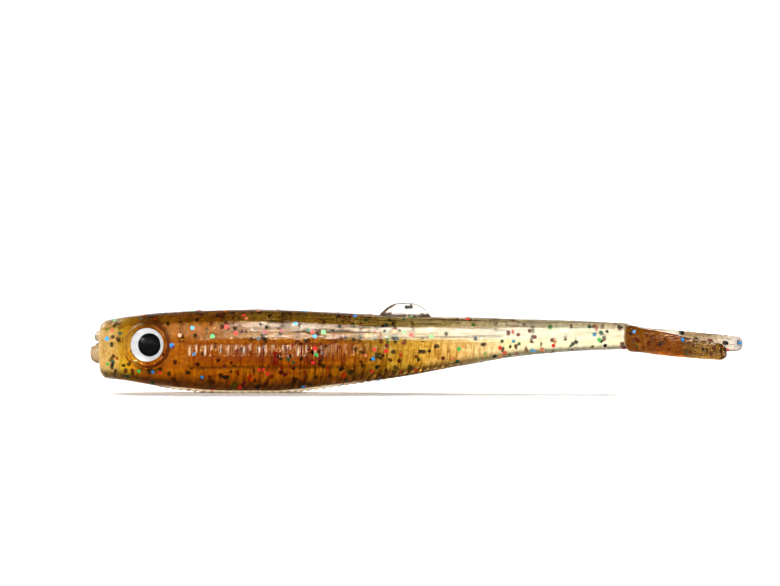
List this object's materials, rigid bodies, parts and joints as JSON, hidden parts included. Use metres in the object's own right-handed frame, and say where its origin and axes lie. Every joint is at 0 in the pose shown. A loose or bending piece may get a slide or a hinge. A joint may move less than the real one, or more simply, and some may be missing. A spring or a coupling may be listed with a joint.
{
  "type": "soft swimbait",
  "caption": "Soft translucent fishing lure shaped like a slender minnow, with a ribbed belly, a split tail, a small back fin, glitter and domed eyes.",
  "frame": {"origin": "the flat under the deepest part of the belly, on the lure's middle plane", "axes": "+X from the nose to the tail, +Z from the belly to the back, so the left flank faces -Y"},
  "size_m": [0.1218, 0.0236, 0.0167],
  "materials": {
    "amber_plastisol": "soft translucent brown plastisol, glossy and slightly oily",
    "gold_plastisol": "soft translucent gold plastisol, glossy and slightly oily",
    "pale_plastisol": "soft, nearly clear plastisol with a straw tint, glossy",
    "glitter": "metallised hexagonal flakes in red, black, green, blue and copper",
    "eye_foil": "bright silver foil",
    "eye_pupil": "black printed ink",
    "eye_dome": "clear polished resin",
    "eye_adhesive": "whitish adhesive film"
  },
  "bodies": {
    "front": {"body_front": "amber_plastisol", "eye_adhesive_left": "eye_adhesive", "eye_foil_left": "eye_foil", "eye_pupil_left": "eye_pupil", "eye_dome_left": "eye_dome", "eye_adhesive_right": "eye_adhesive", "eye_foil_right": "eye_foil", "eye_pupil_right": "eye_pupil", "eye_dome_right": "eye_dome"},
    "middle": {"body_middle": "gold_plastisol"},
    "stem": {"tail_stem": "pale_plastisol"},
    "lobe_left": {"tail_lobe_left": "gold_plastisol"},
    "lobe_right": {"tail_lobe_right": "pale_plastisol"},
    "fin": {"dorsal_fin": "pale_plastisol"}
  },
  "joints": [
    {"name": "trunk_flex", "type": "hinge", "parent": "front", "child": "middle", "pos_m": [0.01375, 0, 0.0075], "axis": [0, 0, 1], "range_deg": [-25, 25], "stiffness_Nm_per_rad": 0.008},
    {"name": "stem_flex", "type": "hinge", "parent": "middle", "child": "stem", "pos_m": [0.0475, 0, 0.01], "axis": [0, 0, 1], "range_deg": [-30, 30], "stiffness_Nm_per_rad": 0.002},
    {"name": "lobe_left_flex", "type": "hinge", "parent": "stem", "child": "lobe_left", "pos_m": [0.0699, -0.00105, 0.0102], "axis": [0, 0, 1], "range_deg": [-25, 40], "stiffness_Nm_per_rad": 0.0003},
    {"name": "lobe_right_flex", "type": "hinge", "parent": "stem", "child": "lobe_right", "pos_m": [0.0699, 0.00105, 0.0102], "axis": [0, 0, 1], "range_deg": [-8, 55], "stiffness_Nm_per_rad": 0.0003},
    {"name": "fin_fold", "type": "hinge", "parent": "middle", "child": "fin", "pos_m": [0.0284, 0, 0.0149], "axis": [1, 0, 0], "range_deg": [-45, 45], "stiffness_Nm_per_rad": 0.0002}
  ]
}
